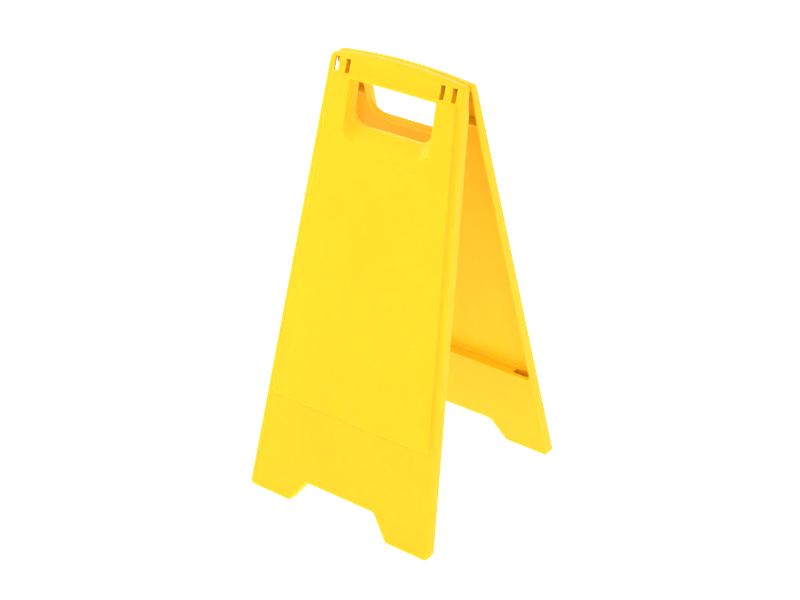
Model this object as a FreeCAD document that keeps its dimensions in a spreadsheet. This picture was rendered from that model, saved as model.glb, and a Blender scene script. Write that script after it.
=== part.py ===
# Wet floor sign: two moulded polypropylene panels joined at the top by two hinge pins.
# Millimetres. Row frame: origin on the floor, mid-way between the feet, X across the sign,
# -Y towards the front panel's feet, +Z up. The sign stands open on its stop.
#
# Each panel is drawn in a frame of its own, with its origin on the hinge axis: X across,
# Z up the sheet and -Y outwards from the sheet. "s" below is the distance down the sheet
# from the level of the top corners, "depth" the distance out from the hinge plane.
import FreeCAD, Part
import math
import os
import Sketcher

V = FreeCAD.Vector
doc = FreeCAD.newDocument("wet_floor_sign")

# ---------------------------------------------------------------- driving dimensions
sheet = doc.addObject("Spreadsheet::Sheet", "Dimensions")
cells = [
    ("sheetLength", 620.0, "length of each panel down the sheet"),
    ("topWidth", 203.0, "panel width at the top corners"),
    ("baseWidth", 300.6, "panel width at the feet"),
    ("halfOpening", 13.3, "lean of each panel from vertical when open, degrees"),
    ("hingeDrop", 9.0, "hinge axis below the top corners"),
    ("panelDepth", 16.5, "hinge plane to the outer face"),
    ("rimGap", 0.4, "hinge plane to the rim"),
    ("skin", 2.8, "thickness of the moulded skin"),
    ("wall", 3.0, "thickness of the side walls"),
    ("crown", 8.0, "rise of the arched top"),
    ("edgeRound", 3.2, "rounding of the outer edges"),
    ("gripRound", 9.0, "rounding along the top of the grip"),
    ("gripWall", 5.6, "thickness of the top wall under that rounding"),
    ("rearStep", 0.4, "rear panel's top below the front panel's"),
    ("footCorner", 6.0, "radius of the outer foot corners"),
    ("arch1", 57.0, "half width of the foot cut-out at its top"),
    ("arch2", 81.0, "half width of the foot cut-out at its base"),
    ("archTop", 586.0, "foot cut-out top, s"),
    ("holeHalf", 63.5, "half width of the hand hole"),
    ("holeTop", 26.8, "hand hole top at its corners, s"),
    ("holeRise", 0.4, "arch of the hand hole's top edge"),
    ("holeBottom", 84.0, "hand hole bottom, s"),
    ("holeCorner", 22.0, "lower corner radius of the hand hole"),
    ("scoopHalf", 66.5, "half width of the finger scoop at the face"),
    ("scoopBottom", 107.0, "finger scoop bottom at the face, s"),
    ("scoopDepth", 8.2, "depth of the scoop's ramp below the outer face"),
    ("fieldTop", 12.0, "raised field top, s"),
    ("fieldBottom", 476.0, "raised field bottom, s"),
    ("fieldInset", 7.5, "raised field in from the side edges"),
    ("fieldRise", 2.2, "height of the raised field"),
    ("fieldBevel", 2.6, "bevel width round the raised field"),
    ("fieldFade", 12.0, "length over which the field rises at its top"),
    ("slotWidth", 7.0, "width of the hinge slots"),
    ("slotInner", 72.0, "inner hinge slots, from the middle"),
    ("slotOuter", 89.5, "outer hinge slots, from the middle"),
    ("slotTop", 3.2, "hinge slot top, s"),
    ("slotBottom", 21.3, "hinge slot bottom, s"),
    ("knuckleIn", 76.3, "front knuckle, inner face"),
    ("knuckleOut", 85.2, "front knuckle, outer face"),
    ("lugIn1", 69.2, "inner rear lug, inner face"),
    ("lugIn2", 75.4, "inner rear lug, outer face"),
    ("lugOut1", 86.1, "outer rear lug, inner face"),
    ("lugOut2", 96.3, "outer rear lug, outer face"),
    ("barrel", 6.2, "radius of the hinge barrel"),
    ("barrelRoom", 0.6, "clearance round the other panel's barrels"),
    ("barrelSide", 0.5, "clearance beside the other panel's barrels"),
    ("pinDiameter", 5.0, "hinge pin diameter"),
    ("pinPlay", 0.05, "radial running clearance of the pin in the front knuckle"),
    ("pinChamfer", 0.5, "chamfer on the pin ends"),
    ("pinStart", 68.8, "inner end of the pin"),
    ("pinEnd", 96.9, "outer end of the pin"),
    ("sideRelief", 97.2, "rims are cut back outside this half width near the hinge"),
    ("reliefFront", 3.6, "front side walls: rim cut back by"),
    ("reliefRear", 4.4, "rear side walls: rim cut back by"),
    ("ledge", 477.5, "end of the open back and start of the boxed foot, s"),
    ("footWeb", 2.4, "thickness of the foot's inner wall"),
    ("ventWidth", 30.0, "foot vents: inner end, in from the side wall"),
    ("boxRib", 64.4, "upright beside the hinge box, inner face"),
    ("stopGap", 0.2, "gap at the opening stop"),
    ("ribDrop", 57.0, "cross rib beside the hand hole, s"),
    ("ribThick", 2.4, "thickness of the cross rib"),
    ("ribSink", 1.2, "rib edge below the rim"),
]
D = {}
for i, (name, value, note) in enumerate(cells, start=1):
    sheet.set("A%d" % i, name)
    sheet.set("B%d" % i, repr(value))
    sheet.set("C%d" % i, note)
    sheet.setAlias("B%d" % i, name)
    D[name] = value
doc.recompute()


def ref(expr):
    """Write sheet aliases as references in an expression."""
    out, word = "", ""
    for ch in expr + " ":
        if ch.isalnum() or ch == "_":
            word += ch
        else:
            out += ("Dimensions." + word) if word in D else word
            word = ""
            out += ch
    return out.strip()


def num(expr):
    """The value of an expression, worked out by the document itself."""
    probe.set("A1", "=" + ref(expr))
    probe.recompute()
    got = probe.get("A1")
    return float(getattr(got, "Value", got))


probe = doc.addObject("Spreadsheet::Sheet", "Working")

HALF = "((topWidth + (baseWidth - topWidth) * (%s) / sheetLength) / 2)"
SIDE = "((baseWidth - topWidth) / sheetLength / 2)"


def half_at(s):
    return HALF % s


def zed(s):
    return "(hingeDrop - (%s))" % s


def origin_plane(body, role):
    for f in body.Origin.OriginFeatures:
        if f.Role == role:
            return f
    raise RuntimeError("no plane " + role)


def new_sketch(body, name, role, offset=None):
    """A sketch on one of the body's planes, moved along its normal by offset."""
    sk = body.newObject("Sketcher::SketchObject", name)
    sk.AttachmentSupport = [(origin_plane(body, role), "")]
    sk.MapMode = "FlatFace"
    if offset is not None:
        sk.AttachmentOffset = FreeCAD.Placement(V(0, 0, num(offset)), FreeCAD.Rotation())
        sk.setExpression(".AttachmentOffset.Base.z", ref(offset))
    return sk


def loop(sk, items):
    """Add a closed loop. items: (x expression, z expression, bulge) in order; bulge is None for
    a straight run to the next point or (radius expression, +1/-1) for an arc to it."""
    pts = [(num(x), num(z)) for x, z, _ in items]
    n = len(items)
    first = sk.GeometryCount
    for i, (x, z, arc) in enumerate(items):
        a, b = pts[i], pts[(i + 1) % n]
        if arc is None:
            sk.addGeometry(Part.LineSegment(V(a[0], a[1], 0), V(b[0], b[1], 0)), False)
        else:
            r, turn = num(arc[0]), arc[1]
            mx, mz = (a[0] + b[0]) / 2, (a[1] + b[1]) / 2
            dx, dz = b[0] - a[0], b[1] - a[1]
            ch = math.hypot(dx, dz)
            hgt = math.sqrt(max(r * r - ch * ch / 4, 0.0))
            nx, nz = -dz / ch, dx / ch
            cx, cz = mx + turn * nx * hgt, mz + turn * nz * hgt
            sag = r - hgt
            px, pz = mx - turn * nx * sag, mz - turn * nz * sag
            sk.addGeometry(Part.Arc(V(a[0], a[1], 0), V(px, pz, 0), V(b[0], b[1], 0)), False)
    ends = []
    for i in range(n):
        g = first + i
        geo = sk.Geometry[g]
        a = V(pts[i][0], pts[i][1], 0)
        if (geo.StartPoint - a).Length < (geo.EndPoint - a).Length:
            ends.append((1, 2))
        else:
            ends.append((2, 1))
    for i in range(n):
        g, k = first + i, first + (i + 1) % n
        sk.addConstraint(Sketcher.Constraint("Coincident", g, ends[i][1], k, ends[(i + 1) % n][0]))
    for i, (x, z, arc) in enumerate(items):
        g = first + i
        for kind, expr, val in (("DistanceX", x, pts[i][0]), ("DistanceY", z, pts[i][1])):
            if abs(val) < 1e-9 and expr.strip() == "0":
                target = -2 if kind == "DistanceX" else -1
                sk.addConstraint(Sketcher.Constraint("PointOnObject", g, ends[i][0], target))
                continue
            c = sk.addConstraint(Sketcher.Constraint(kind, -1, 1, g, ends[i][0], val))
            sk.setExpression("Constraints[%d]" % c, ref(expr))
        if arc is not None:
            c = sk.addConstraint(Sketcher.Constraint("Radius", g, num(arc[0])))
            sk.setExpression("Constraints[%d]" % c, ref(arc[0]))


def pad(body, name, sk, length, reverse=False, mid=False):
    f = body.newObject("PartDesign::Pad", name)
    f.Profile = sk
    f.Length = num(length)
    f.setExpression("Length", ref(length))
    f.Reversed = reverse
    f.Midplane = mid
    sk.Visibility = False
    doc.recompute()
    return f


def pocket(body, name, sk, length=None, reverse=False, mid=False):
    before = body.Shape.Volume
    f = body.newObject("PartDesign::Pocket", name)
    f.Profile = sk
    if length is None:
        f.Type = "ThroughAll"
    else:
        f.Length = num(length)
        f.setExpression("Length", ref(length))
    f.Reversed = reverse
    f.Midplane = mid
    doc.recompute()
    gone = before - body.Shape.Volume
    if gone < 1.0:
        raise RuntimeError("%s.%s removed nothing (%.3f)" % (body.Name, name, gone))
    return f


def loft(body, name, kind, a, b):
    f = body.newObject("PartDesign::%sLoft" % kind, name)
    f.Profile = a
    f.Sections = [b]
    f.Ruled = True
    doc.recompute()
    return f


def round_edges(body, name, radius, pick, base=None):
    """Fillet the edges of the body's present shape that pick(edge) accepts."""
    tip = body.Tip
    names = ["Edge%d" % (i + 1) for i, e in enumerate(tip.Shape.Edges) if pick(e)]
    if not names:
        raise RuntimeError("%s.%s found no edges" % (body.Name, name))
    f = body.newObject("PartDesign::Fillet", name)
    f.Base = (tip, names)
    f.Radius = num(radius)
    f.setExpression("Radius", ref(radius))
    doc.recompute()
    return f


def near(a, b, tol=0.02):
    return abs(a - b) < tol


def u_loop(half, top, rise, bottom, corner):
    """Hand hole outline: arched top, straight sides, big lower corners."""
    h, r = "(%s)" % half, "(%s)" % corner
    arch = "(((2 * %s) * (2 * %s) / 4 + %s * %s) / (2 * %s))" % (h, h, rise, rise, rise)
    return [
        (h, zed(top), (arch, 1)),
        ("-" + h, zed(top), None),
        ("-" + h, zed("(%s) - %s" % (bottom, r)), (r, 1)),
        ("-%s + %s" % (h, r), zed(bottom), None),
        ("%s - %s" % (h, r), zed(bottom), (r, 1)),
        (h, zed("(%s) - %s" % (bottom, r)), None),
    ]


def field_loop(top, bottom, inset, r):
    """Rounded trapezoid that follows the panel's sides."""
    t1, t2 = "(%s)" % top, "(%s)" % bottom

    def hx(s):
        return "(%s - (%s))" % (half_at(s), inset)
    return [
        (hx("%s + %s" % (t1, r)), zed("%s + %s" % (t1, r)), (r + " * 1.02", 1)),
        ("%s - %s" % (hx(t1), r), zed(t1), None),
        ("-(%s - %s)" % (hx(t1), r), zed(t1), (r + " * 1.02", 1)),
        ("-" + hx("%s + %s" % (t1, r)), zed("%s + %s" % (t1, r)), None),
        ("-" + hx("%s - %s" % (t2, r)), zed("%s - %s" % (t2, r)), (r + " * 1.02", 1)),
        ("-(%s - %s)" % (hx(t2), r), zed(t2), None),
        ("%s - %s" % (hx(t2), r), zed(t2), (r + " * 1.02", 1)),
        (hx("%s - %s" % (t2, r)), zed("%s - %s" % (t2, r)), None),
    ]


def make_panel(name, front):
    body = doc.addObject("PartDesign::Body", name)
    body.Label = name

    # --- the pan: outline at the rim, padded out to the face
    top = "0" if front else "rearStep"
    over = "(sheetLength + 6)"
    slope = "((arch2 - arch1) / (sheetLength - archTop))"
    a2 = "(arch2 + %s * 6)" % slope
    top_r = "((topWidth * topWidth / 4 + crown * crown) / (2 * crown))"
    sk = new_sketch(body, "OutlineSketch", "XZ_Plane", "rimGap")
    loop(sk, [
        ("topWidth / 2", zed(top), (top_r, 1)),
        ("-topWidth / 2", zed(top), None),
        ("-" + half_at(over), zed(over), None),
        ("-" + a2, zed(over), None),
        ("-arch1", zed("archTop"), None),
        ("arch1", zed("archTop"), None),
        (a2, zed(over), None),
        (half_at(over), zed(over), None),
    ])
    pad(body, "Pan", sk, "panelDepth - rimGap")

    # --- the grip rolls over from the face to the hinge plane
    zt = num(zed(top))
    yo = -D["panelDepth"]

    def on_face(e):
        return all(near(v.Y, yo, 0.01) for v in e.Vertexes) and abs(e.CenterOfMass.y - yo) < 0.01
    round_edges(body, "GripEdge", "gripRound", lambda e: on_face(e) and e.CenterOfMass.z > zt - 2)

    # --- feet cut level with the floor when the sign stands open
    tip_z = "(hingeDrop - sheetLength + panelDepth / 2 * tan(halfOpening))"
    sk = new_sketch(body, "FloorSketch", "YZ_Plane")
    loop(sk, [
        ("5", "%s + 5 * tan(halfOpening)" % tip_z, None),
        ("-30", "%s - 30 * tan(halfOpening)" % tip_z, None),
        ("-30", "%s - 40" % tip_z, None),
        ("5", "%s - 40" % tip_z, None),
    ])
    pocket(body, "FloorCut", sk, "baseWidth * 2", mid=True)

    # --- above the hinge the rims lean clear of each other: the opening stop
    rise = "(hingeDrop + crown + 3)"
    sk = new_sketch(body, "StopSketch", "YZ_Plane")
    loop(sk, [
        ("3", "0", None),
        ("3", rise, None),
        ("-stopGap - %s * tan(halfOpening)" % rise, rise, None),
        ("-stopGap", "0", None),
    ])
    pocket(body, "StopCut", sk, "baseWidth * 2", mid=True)

    # --- corners seen from the front
    def along_y(e):
        a, b = e.Vertexes[0].Point, e.Vertexes[-1].Point
        return abs(a.x - b.x) < 0.01 and abs(a.y - b.y) > 5

    zb = num(zed("sheetLength"))
    xf = num(half_at("sheetLength"))
    round_edges(body, "FootCorners", "footCorner", lambda e: abs(e.Vertexes[0].Y - e.Vertexes[-1].Y) > 5
                and abs(abs(e.Vertexes[0].X) - xf) < 1.5 and abs(e.Vertexes[0].Z - zb) < 6)
    za = num(zed("archTop"))
    round_edges(body, "ArchCorners", "footCorner", lambda e: along_y(e) and near(abs(e.Vertexes[0].X), D["arch1"], 0.05)
                and near(e.Vertexes[0].Z, za, 0.05))

    # --- outer edges softly rounded, round the ends of the grip as well
    round_edges(body, "OuterEdges", "edgeRound", lambda e: on_face(e) and e.Length > 8
                and e.CenterOfMass.z < zt - 20)

    # --- hollow the back down to the ledge, leaving the ring round the hand hole standing
    side = "(wall * 1.004)"
    arch_r = "(%s - gripWall)" % top_r
    cr = "6"

    def cx(at):
        return "(%s - %s)" % (half_at(at), side)
    sk = new_sketch(body, "CavitySketch", "XZ_Plane")
    loop(sk, [
        ("(%s - 5)" % cx("gripWall"), zed("gripWall"), (arch_r, 1)),
        ("-(%s - 5)" % cx("gripWall"), zed("gripWall"), ("5.5", 1)),
        ("-" + cx("gripWall + 5"), zed("gripWall + 5"), None),
        ("-" + cx("ledge - " + cr), zed("ledge - " + cr), (cr + " * 1.02", 1)),
        ("-(%s - %s)" % (cx("ledge"), cr), zed("ledge"), None),
        ("%s - %s" % (cx("ledge"), cr), zed("ledge"), (cr + " * 1.02", 1)),
        (cx("ledge - " + cr), zed("ledge - " + cr), None),
        (cx("gripWall + 5"), zed("gripWall + 5"), ("5.5", 1)),
    ])
    loop(sk, u_loop("holeHalf + wall", "holeTop - wall", "holeRise", "holeBottom + wall", "holeCorner + wall"))
    pocket(body, "Cavity", sk, "panelDepth - skin", reverse=True)

    # --- below the ledge the foot is a box, hollow behind its inner wall
    inner = "(sheetLength - panelDepth / 2 * tan(halfOpening) - wall)"
    box = "(ledge + wall)"
    leg = "(arch1 + %s * (%s - archTop) + wall * 1.25)" % (slope, inner)
    sk = new_sketch(body, "FootHollowSketch", "XZ_Plane", "rimGap + footWeb")
    loop(sk, [
        (cx(box), zed(box), None),
        ("-" + cx(box), zed(box), None),
        ("-" + cx(inner), zed(inner), None),
        ("-" + leg, zed(inner), None),
        ("-(arch1 + wall * 0.5)", zed("archTop - wall"), None),
        ("arch1 + wall * 0.5", zed("archTop - wall"), None),
        (leg, zed(inner), None),
        (cx(inner), zed(inner), None),
    ])
    pocket(body, "FootHollow", sk, "panelDepth - skin - rimGap - footWeb", reverse=True)
    sk = new_sketch(body, "VentSketch", "XZ_Plane", "panelDepth / 2 - 2")
    for sgn in ("", "-"):
        va, vb = "(%s - ventWidth)" % cx("ledge - 10"), "(%s - 8)" % cx("ledge - 10")
        v1, v2 = zed("ledge - 3"), zed("ledge + wall + 3")
        loop(sk, [(sgn + va, v1, None), (sgn + vb, v1, None), (sgn + vb, v2, None), (sgn + va, v2, None)])
    pocket(body, "Vents", sk, "panelDepth / 2 + 2 - skin", reverse=True)

    # --- raised message field, hollow behind
    fa = new_sketch(body, "FieldBase", "XZ_Plane", "panelDepth - 0.4")
    loop(fa, field_loop("fieldTop", "fieldBottom", "fieldInset", "8"))
    fb = new_sketch(body, "FieldFace", "XZ_Plane", "panelDepth + fieldRise")
    loop(fb, field_loop("fieldTop + fieldFade", "fieldBottom - fieldBevel", "fieldInset + fieldBevel", "7"))
    v0 = body.Shape.Volume
    loft(body, "Field", "Additive", fa, fb)
    if body.Shape.Volume - v0 < 100:
        raise RuntimeError("field added nothing")
    fc = new_sketch(body, "FieldBackFace", "XZ_Plane", "panelDepth + fieldRise - skin")
    loop(fc, field_loop("fieldTop + fieldFade + 3", "fieldBottom - fieldBevel - 2", "fieldInset + fieldBevel + 2", "6"))
    fd = new_sketch(body, "FieldBackBase", "XZ_Plane", "panelDepth - skin - 0.3")
    loop(fd, field_loop("fieldTop + 10", "fieldBottom - 2", "fieldInset + 2", "7"))

    v0 = body.Shape.Volume
    loft(body, "FieldBack", "Subtractive", fd, fc)
    if v0 - body.Shape.Volume < 100:
        raise RuntimeError("field back removed nothing")

    # --- cross ribs between the hand hole's ring and the side walls
    sk = new_sketch(body, "RibSketch", "XZ_Plane", "ribSink + rimGap")
    for sgn in ("", "-"):
        xa, xb = "(holeHalf + wall - 0.6)", "(%s - wall / 2)" % half_at("ribDrop")
        za_, zb_ = zed("ribDrop"), zed("ribDrop + ribThick")
        pts = [(sgn + xb, za_, None), (sgn + xa, za_, None), (sgn + xa, zb_, None), (sgn + xb, zb_, None)]
        loop(sk, pts)
    pad(body, "Ribs", sk, "panelDepth - ribSink - rimGap - skin / 2")

    # --- uprights beside the hinge, closing the grip off from the hand hole
    def wall_point(at, angle):
        """A point inside the grip's rounded wall, seen from the side at x = at."""
        cz = "(%s + crown * (1 - (2 * %s / topWidth) * (2 * %s / topWidth)) - gripRound)" % (zed(top), at, at)
        r = "(gripRound - skin / 2)"
        return ("-(panelDepth - gripRound + %s * sin(%g))" % (r, angle), "%s + %s * cos(%g)" % (cz, r, angle))

    v0 = body.Shape.Volume
    for k, sgn in enumerate((1, -1)):
        start = "boxRib" if sgn > 0 else "-(boxRib + ribThick)"
        p1, p2, p3, p4 = [wall_point("(boxRib + ribThick)", t) for t in (5, 35, 62, 90)]
        sk = new_sketch(body, "UprightSketch%d" % (k + 1), "YZ_Plane", start)
        loop(sk, [
            ("-ribSink - rimGap", zed("holeTop + 5"), None),
            ("-ribSink - rimGap", "0", None),
            ("-ribSink - rimGap - (%s) * tan(halfOpening)" % p1[1], p1[1], None),
            (p1[0], p1[1], None), (p2[0], p2[1], None), (p3[0], p3[1], None), (p4[0], p4[1], None),
            (p4[0], zed("holeTop + 5"), None),
        ])
        pad(body, "Upright%d" % (k + 1), sk, "ribThick")
    if body.Shape.Volume - v0 < 100:
        raise RuntimeError("uprights added nothing")

    # --- rims of the side walls cut back near the hinge
    if front:
        back = [("1", zed("-crown - 4")), ("-reliefFront", zed("-crown - 4")), ("-reliefFront", zed("22")),
                ("-rimGap", zed("32")), ("1", zed("32"))]
    else:
        back = [("1", zed("-crown - 4")), ("-reliefRear", zed("-crown - 4")), ("-reliefRear", zed("14")),
                ("-reliefRear * 0.55", zed("36")), ("-rimGap", zed("84")), ("1", zed("84"))]
    for k, sgn in enumerate((1, -1)):
        start = "sideRelief" if sgn > 0 else "-sideRelief - 30"
        sk = new_sketch(body, "ReliefSketch%d" % (k + 1), "YZ_Plane", start)
        loop(sk, [(y, z, None) for y, z in back])
        pocket(body, "Relief%d" % (k + 1), sk, "30", reverse=True)

    # --- hinge lugs
    if front:
        sk = new_sketch(body, "SlotSketch", "XZ_Plane", "barrel + 1")
        for sgn in ("", "-"):
            for where in ("slotInner", "slotOuter"):
                xa, xb = "(%s%s - slotWidth / 2)" % (sgn, where), "(%s%s + slotWidth / 2)" % (sgn, where)
                loop(sk, [(xa, zed("slotTop"), None), (xa, zed("slotBottom"), None),
                          (xb, zed("slotBottom"), None), (xb, zed("slotTop"), None)])
        pocket(body, "Slots", sk, "panelDepth + 10", reverse=True)
        lugs, facing = [("knuckleIn", "knuckleOut")], [("lugIn1", "lugIn2"), ("lugOut1", "lugOut2")]
    else:
        lugs, facing = [("lugIn1", "lugIn2"), ("lugOut1", "lugOut2")], [("knuckleIn", "knuckleOut")]

    # room in the top wall for the other panel's barrels to turn
    k = 0
    for sgn in (1, -1):
        for lo, hi in facing:
            k += 1
            start = "%s - barrelSide" % lo if sgn > 0 else "-%s - barrelSide" % hi
            sk = new_sketch(body, "RoomSketch%d" % k, "YZ_Plane", start)
            sk.addGeometry(Part.Circle(V(0, 0, 0), V(0, 0, 1), num("barrel + barrelRoom")), False)
            sk.addConstraint(Sketcher.Constraint("Coincident", 0, 3, -1, 1))
            c = sk.addConstraint(Sketcher.Constraint("Radius", 0, num("barrel + barrelRoom")))
            sk.setExpression("Constraints[%d]" % c, ref("barrel + barrelRoom"))
            pocket(body, "Room%d" % k, sk, "%s - %s + 2 * barrelSide" % (hi, lo), reverse=True)
    v0 = body.Shape.Volume
    k = 0
    for sgn in (1, -1):
        for lo, hi in lugs:
            k += 1
            start = lo if sgn > 0 else "-" + hi
            sk = new_sketch(body, "LugSketch%d" % k, "YZ_Plane", start)
            q1, q2, q3 = [wall_point(hi, t) for t in (20, 55, 90)]
            loop(sk, [("%s + 2" % q1[0], "barrel", None),
                      (q2[0], q2[1], None),
                      (q3[0], q3[1], None),
                      (q3[0], "-barrel", None),
                      ("0", "-barrel", ("barrel", 1)),
                      ("barrel", "0", ("barrel", 1)),
                      ("0", "barrel", None)])
            pad(body, "Lug%d" % k, sk, "%s - %s" % (hi, lo))
    if body.Shape.Volume - v0 < 100:
        raise RuntimeError("lugs added nothing")
    sk = new_sketch(body, "BoreSketch", "YZ_Plane")
    bore = "(pinDiameter / 2 + pinPlay)" if front else "(pinDiameter / 2)"
    sk.addGeometry(Part.Circle(V(0, 0, 0), V(0, 0, 1), num(bore)), False)
    sk.addConstraint(Sketcher.Constraint("Coincident", 0, 3, -1, 1))
    c = sk.addConstraint(Sketcher.Constraint("Radius", 0, num(bore)))
    sk.setExpression("Constraints[%d]" % c, ref(bore))
    pocket(body, "Bore", sk, "baseWidth * 2", mid=True)

    # --- finger scoop: backing, ramp and the hand hole itself
    ba = new_sketch(body, "ScoopBackFace", "XZ_Plane", "panelDepth + fieldRise - 0.6")
    loop(ba, u_loop("scoopHalf + wall", "holeTop - wall", "holeRise", "scoopBottom + wall", "holeCorner + wall"))
    bb = new_sketch(body, "ScoopBackBase", "XZ_Plane", "panelDepth - scoopDepth - wall")
    loop(bb, u_loop("holeHalf + wall", "holeTop - wall", "holeRise", "holeBottom + wall", "holeCorner + wall"))
    loft(body, "ScoopBack", "Additive", bb, ba)
    sa = new_sketch(body, "ScoopFace", "XZ_Plane", "panelDepth + fieldRise")
    loop(sa, u_loop("scoopHalf", "holeTop", "holeRise", "scoopBottom", "holeCorner"))
    sb = new_sketch(body, "ScoopBase", "XZ_Plane", "panelDepth - scoopDepth")
    loop(sb, u_loop("holeHalf", "holeTop", "holeRise", "holeBottom", "holeCorner"))
    v0 = body.Shape.Volume
    loft(body, "Scoop", "Subtractive", sb, sa)
    if v0 - body.Shape.Volume < 100:
        raise RuntimeError("scoop removed nothing")
    sk = new_sketch(body, "HandHoleSketch", "XZ_Plane", "-10")
    loop(sk, u_loop("holeHalf", "holeTop", "holeRise", "holeBottom", "holeCorner"))
    pocket(body, "HandHole", sk, "panelDepth + 20", reverse=True)

    # --- stand it open on the floor
    angle = -D["halfOpening"] if front else D["halfOpening"]
    turn = FreeCAD.Rotation(V(1, 0, 0), angle)
    if not front:
        turn = turn.multiply(FreeCAD.Rotation(V(0, 0, 1), 180))
    body.Placement = FreeCAD.Placement(V(0, 0, num(HINGE_Z)), turn)
    body.setExpression(".Placement.Base.z", ref(HINGE_Z))
    doc.recompute()
    return body


HINGE_Z = "((sheetLength - hingeDrop) * cos(halfOpening) - panelDepth / 2 * sin(halfOpening))"

front_panel = make_panel("front_panel", True)
rear_panel = make_panel("rear_panel", False)


def make_pin(name, sgn):
    body = doc.addObject("PartDesign::Body", name)
    body.Label = name
    sk = new_sketch(body, "PinSketch", "YZ_Plane", "pinStart")
    sk.addGeometry(Part.Circle(V(0, 0, 0), V(0, 0, 1), D["pinDiameter"] / 2), False)
    sk.addConstraint(Sketcher.Constraint("Coincident", 0, 3, -1, 1))
    c = sk.addConstraint(Sketcher.Constraint("Radius", 0, D["pinDiameter"] / 2))
    sk.setExpression("Constraints[%d]" % c, ref("pinDiameter / 2"))
    p = pad(body, "Shank", sk, "pinEnd - pinStart")
    f = body.newObject("PartDesign::Chamfer", "Ends")
    f.Base = (p, ["Edge%d" % (i + 1) for i, e in enumerate(p.Shape.Edges) if isinstance(e.Curve, Part.Circle)])
    f.Size = D["pinChamfer"]
    f.setExpression("Size", ref("pinChamfer"))
    turn = FreeCAD.Rotation() if sgn > 0 else FreeCAD.Rotation(V(0, 0, 1), 180)
    body.Placement = FreeCAD.Placement(V(0, 0, num(HINGE_Z)), turn)
    body.setExpression(".Placement.Base.z", ref(HINGE_Z))
    doc.recompute()
    return body


pin_right = make_pin("hinge_pin_right", 1)
pin_left = make_pin("hinge_pin_left", -1)

doc.recompute()
for obj in doc.Objects:
    bad = [st for st in obj.State if st in ("Invalid", "Error")]
    if bad:
        raise RuntimeError("%s is %s" % (obj.Name, bad))

os.makedirs("parts", exist_ok=True)
for body in (front_panel, rear_panel, pin_right, pin_left):
    shape = body.Shape
    if shape.isNull() or not shape.isValid():
        raise RuntimeError(body.Label + " is not valid")
    if len(shape.Solids) != 1:
        raise RuntimeError("%s has %d solids" % (body.Label, len(shape.Solids)))
    bb = shape.BoundBox
    print(body.Label, round(shape.Volume, 1), [round(v, 2) for v in (bb.XMin, bb.XMax, bb.YMin, bb.YMax, bb.ZMin, bb.ZMax)])
    shape.exportStep("parts/%s.step" % body.Label)
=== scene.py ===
import math

import bpy
from mathutils import Matrix, Vector

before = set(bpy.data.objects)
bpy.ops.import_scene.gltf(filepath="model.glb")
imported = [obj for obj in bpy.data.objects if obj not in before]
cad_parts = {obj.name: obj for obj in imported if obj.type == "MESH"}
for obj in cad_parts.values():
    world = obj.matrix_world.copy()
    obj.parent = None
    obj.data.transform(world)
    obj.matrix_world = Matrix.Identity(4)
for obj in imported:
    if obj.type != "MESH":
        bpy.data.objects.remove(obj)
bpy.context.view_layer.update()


# ------------------------------------------------------------------ node helpers
def new_material(name):
    mat = bpy.data.materials.new(name)
    mat.use_nodes = True
    nt = mat.node_tree
    for n in list(nt.nodes):
        nt.nodes.remove(n)
    out = nt.nodes.new("ShaderNodeOutputMaterial")
    bsdf = nt.nodes.new("ShaderNodeBsdfPrincipled")
    nt.links.new(bsdf.outputs["BSDF"], out.inputs["Surface"])
    return mat, nt, bsdf


def node(nt, kind, **values):
    n = nt.nodes.new(kind)
    for key, value in values.items():
        if hasattr(n, key) and key not in n.inputs:
            setattr(n, key, value)
        else:
            n.inputs[key.replace("_", " ")].default_value = value
    return n


def noise(nt, vec, scale, detail=3.0, rough=0.5):
    n = node(nt, "ShaderNodeTexNoise")
    n.inputs["Scale"].default_value = scale
    n.inputs["Detail"].default_value = detail
    n.inputs["Roughness"].default_value = rough
    nt.links.new(vec, n.inputs["Vector"])
    return n.outputs["Fac"]


def remap(nt, val, a, b, c, d):
    m = node(nt, "ShaderNodeMapRange")
    m.clamp = True
    for key, v in zip(("From Min", "From Max", "To Min", "To Max"), (a, b, c, d)):
        m.inputs[key].default_value = v
    nt.links.new(val, m.inputs["Value"])
    return m.outputs["Result"]


def math_node(nt, op, a, b):
    m = node(nt, "ShaderNodeMath")
    m.operation = op
    for i, v in enumerate((a, b)):
        if isinstance(v, (int, float)):
            m.inputs[i].default_value = v
        else:
            nt.links.new(v, m.inputs[i])
    return m.outputs[0]


def mix_colour(nt, fac, a, b):
    m = node(nt, "ShaderNodeMix")
    m.data_type = "RGBA"
    if isinstance(fac, (int, float)):
        m.inputs[0].default_value = fac
    else:
        nt.links.new(fac, m.inputs[0])
    for i, v in ((6, a), (7, b)):
        if isinstance(v, tuple):
            m.inputs[i].default_value = (*v, 1.0)
        else:
            nt.links.new(v, m.inputs[i])
    return m.outputs[2]


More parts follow.
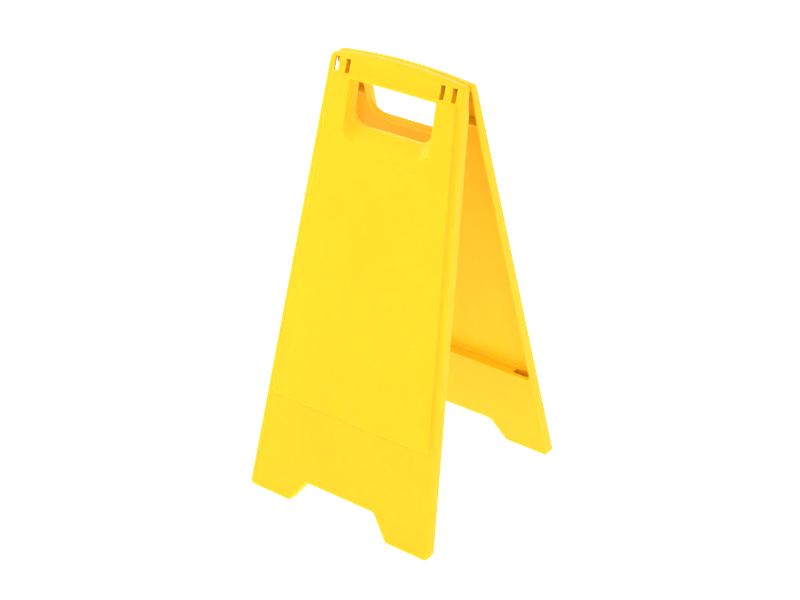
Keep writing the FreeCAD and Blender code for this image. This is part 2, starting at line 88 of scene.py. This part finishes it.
# ------------------------------------------------------------------ materials
def yellow_plastic():
    """Injection-moulded polypropylene: spark-eroded grain, faint flow and sink in the flats,
    slightly paler where edges rub, a few fine scuffs."""
    mat, nt, bsdf = new_material("yellow_polypropylene")
    co = node(nt, "ShaderNodeTexCoord").outputs["Object"]

    base = (0.95, 0.580, 0.010)
    deep = (0.94, 0.562, 0.008)
    pale = (0.96, 0.610, 0.022)
    cloud = remap(nt, noise(nt, co, 7.0, 4.0, 0.55), 0.35, 0.65, 0.0, 1.0)
    col = mix_colour(nt, cloud, deep, base)

    # flow marks: long faint streaks down the sheet
    stretch = node(nt, "ShaderNodeMapping")
    stretch.inputs["Scale"].default_value = (1.0, 1.0, 0.12)
    nt.links.new(co, stretch.inputs["Vector"])
    flow = remap(nt, noise(nt, stretch.outputs["Vector"], 55.0, 5.0, 0.6), 0.50, 0.72, 0.0, 0.22)
    col = mix_colour(nt, flow, col, pale)

    # rubbed edges, found from how far the softened normal turns away from the real one
    bevel = node(nt, "ShaderNodeBevel")
    bevel.samples = 6
    bevel.inputs["Radius"].default_value = 0.0016
    geo = node(nt, "ShaderNodeNewGeometry")
    dot = node(nt, "ShaderNodeVectorMath")
    dot.operation = "DOT_PRODUCT"
    nt.links.new(bevel.outputs["Normal"], dot.inputs[0])
    nt.links.new(geo.outputs["Normal"], dot.inputs[1])
    edge = remap(nt, dot.outputs["Value"], 0.70, 0.985, 1.0, 0.0)
    patchy = remap(nt, noise(nt, co, 90.0, 5.0, 0.65), 0.42, 0.62, 0.15, 1.0)
    wear = math_node(nt, "MULTIPLY", math_node(nt, "MULTIPLY", edge, patchy), 0.35)
    col = mix_colour(nt, wear, col, (0.99, 0.74, 0.16))

    # fine scuffs, mostly across the sheet
    sc = node(nt, "ShaderNodeMapping")
    sc.inputs["Scale"].default_value = (0.10, 1.0, 1.0)
    sc.inputs["Rotation"].default_value = (0.0, 0.35, 0.0)
    nt.links.new(co, sc.inputs["Vector"])
    scratch = remap(nt, noise(nt, sc.outputs["Vector"], 420.0, 2.0, 0.5), 0.70, 0.76, 0.0, 1.0)
    where = remap(nt, noise(nt, co, 12.0, 2.0, 0.5), 0.52, 0.68, 0.0, 1.0)
    scuff = math_node(nt, "MULTIPLY", scratch, where)
    col = mix_colour(nt, math_node(nt, "MULTIPLY", scuff, 0.25), col, (0.98, 0.78, 0.25))
    nt.links.new(col, bsdf.inputs["Base Color"])

    # gloss varies softly with the mould's polish and the scuffs
    rough = remap(nt, noise(nt, co, 38.0, 4.0, 0.6), 0.3, 0.7, 0.40, 0.52)
    rough = math_node(nt, "ADD", rough, math_node(nt, "MULTIPLY", scuff, 0.15))
    nt.links.new(rough, bsdf.inputs["Roughness"])
    bsdf.inputs["IOR"].default_value = 1.49
    bsdf.inputs["Specular IOR Level"].default_value = 0.16
    bsdf.inputs["Subsurface Weight"].default_value = 0.90
    bsdf.inputs["Subsurface Radius"].default_value = (1.0, 0.60, 0.12)
    bsdf.inputs["Subsurface Scale"].default_value = 0.0075

    # relief: moulded grain over a slow waviness of the flats
    grain = noise(nt, co, 1500.0, 3.0, 0.6)
    wavy = noise(nt, co, 9.0, 2.0, 0.4)
    b1 = node(nt, "ShaderNodeBump")
    b1.inputs["Strength"].default_value = 0.35
    b1.inputs["Distance"].default_value = 0.0018
    nt.links.new(wavy, b1.inputs["Height"])
    nt.links.new(bevel.outputs["Normal"], b1.inputs["Normal"])
    b2 = node(nt, "ShaderNodeBump")
    b2.inputs["Strength"].default_value = 0.16
    b2.inputs["Distance"].default_value = 0.00012
    nt.links.new(grain, b2.inputs["Height"])
    nt.links.new(b1.outputs["Normal"], b2.inputs["Normal"])
    nt.links.new(b2.outputs["Normal"], bsdf.inputs["Normal"])
    return mat


def pin_steel():
    """Drawn wire: fine lines round and along the shank, a little dull at the cut ends."""
    mat, nt, bsdf = new_material("pin_steel")
    co = node(nt, "ShaderNodeTexCoord").outputs["Object"]
    lines = node(nt, "ShaderNodeMapping")
    lines.inputs["Scale"].default_value = (0.05, 1.0, 1.0)
    nt.links.new(co, lines.inputs["Vector"])
    draw = noise(nt, lines.outputs["Vector"], 2600.0, 4.0, 0.6)
    tarnish = remap(nt, noise(nt, co, 240.0, 3.0, 0.55), 0.4, 0.7, 0.0, 0.5)
    col = mix_colour(nt, tarnish, (0.60, 0.60, 0.61), (0.42, 0.40, 0.37))
    nt.links.new(col, bsdf.inputs["Base Color"])
    bsdf.inputs["Metallic"].default_value = 1.0
    nt.links.new(remap(nt, draw, 0.3, 0.7, 0.24, 0.42), bsdf.inputs["Roughness"])
    b = node(nt, "ShaderNodeBump")
    b.inputs["Strength"].default_value = 0.2
    b.inputs["Distance"].default_value = 0.00005
    nt.links.new(draw, b.inputs["Height"])
    nt.links.new(b.outputs["Normal"], bsdf.inputs["Normal"])
    return mat


yellow = yellow_plastic()
steel = pin_steel()
for name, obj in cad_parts.items():
    mat = steel if name.startswith("hinge_pin") else yellow
    if obj.data.materials:
        for i in range(len(obj.data.materials)):
            obj.data.materials[i] = mat
    else:
        obj.data.materials.append(mat)

# ------------------------------------------------------------------ studio
floor_mesh = bpy.data.meshes.new("studio_floor")
half = 14.0
floor_mesh.from_pydata([(-half, -half, -0.0004), (half, -half, -0.0004), (half, half, -0.0004), (-half, half, -0.0004)],
                       [], [(0, 1, 2, 3)])
floor = bpy.data.objects.new("studio_floor", floor_mesh)
bpy.context.collection.objects.link(floor)
fmat, fnt, fb = new_material("studio_floor")
fb.inputs["Base Color"].default_value = (0.60, 0.60, 0.60, 1.0)
fb.inputs["Emission Color"].default_value = (1.0, 1.0, 1.0, 1.0)
fb.inputs["Emission Strength"].default_value = 0.85
fb.inputs["Roughness"].default_value = 0.95
fb.inputs["Specular IOR Level"].default_value = 0.1
floor_mesh.materials.append(fmat)

world = bpy.data.worlds.new("studio")
bpy.context.scene.world = world
world.use_nodes = True
bg = world.node_tree.nodes["Background"]
bg.inputs["Color"].default_value = (1.0, 1.0, 1.0, 1.0)
bg.inputs["Strength"].default_value = 0.825


def area(name, loc, target, size, power):
    d = bpy.data.lights.new(name, "AREA")
    d.shape = "DISK"
    d.size = size
    d.energy = power
    o = bpy.data.objects.new(name, d)
    bpy.context.collection.objects.link(o)
    o.location = loc
    o.rotation_mode = "QUATERNION"
    o.rotation_quaternion = (Vector(target) - Vector(loc)).to_track_quat("-Z", "Y")
    return o


area("key", (2.5, -2.1, 1.15), (0.0, 0.0, 0.3), 1.8, 15.0)
area("top", (0.0, -0.6, 2.6), (0.0, 0.0, 0.3), 2.2, 11.0)
area("fill", (-1.5, -0.38, 1.25), (0.0, 0.08, 0.15), 0.6, 11.0)
area("back", (-0.8, 2.4, 1.4), (0.0, 0.05, 0.3), 2.0, 20.0)

bpy.context.scene.view_settings.view_transform = "Standard"
bpy.context.scene.view_settings.look = "None"

# ------------------------------------------------------------------ camera
azimuth, elevation, roll = math.radians(36.25), math.radians(30.16), math.radians(-0.27)
aim = Vector((-0.00499, -0.00030, 0.26957))
distance = 2.32930
forward = Vector((-math.sin(azimuth) * math.cos(elevation), math.cos(azimuth) * math.cos(elevation), -math.sin(elevation)))
right = Vector((math.cos(azimuth), math.sin(azimuth), 0.0))
up = right.cross(forward)
right2 = right * math.cos(roll) + up * math.sin(roll)
up2 = up * math.cos(roll) - right * math.sin(roll)
cam_data = bpy.data.cameras.new("camera")
cam_data.sensor_width = 36.0
cam_data.lens = 1749.60 * 36.0 / 800.0
cam_data.clip_start, cam_data.clip_end = 0.05, 60.0
cam_data.dof.use_dof = False
cam = bpy.data.objects.new("camera", cam_data)
bpy.context.collection.objects.link(cam)
rot = Matrix((right2, up2, -forward)).transposed()
cam.matrix_world = Matrix.Translation(aim - forward * distance) @ rot.to_4x4()
bpy.context.scene.camera = cam
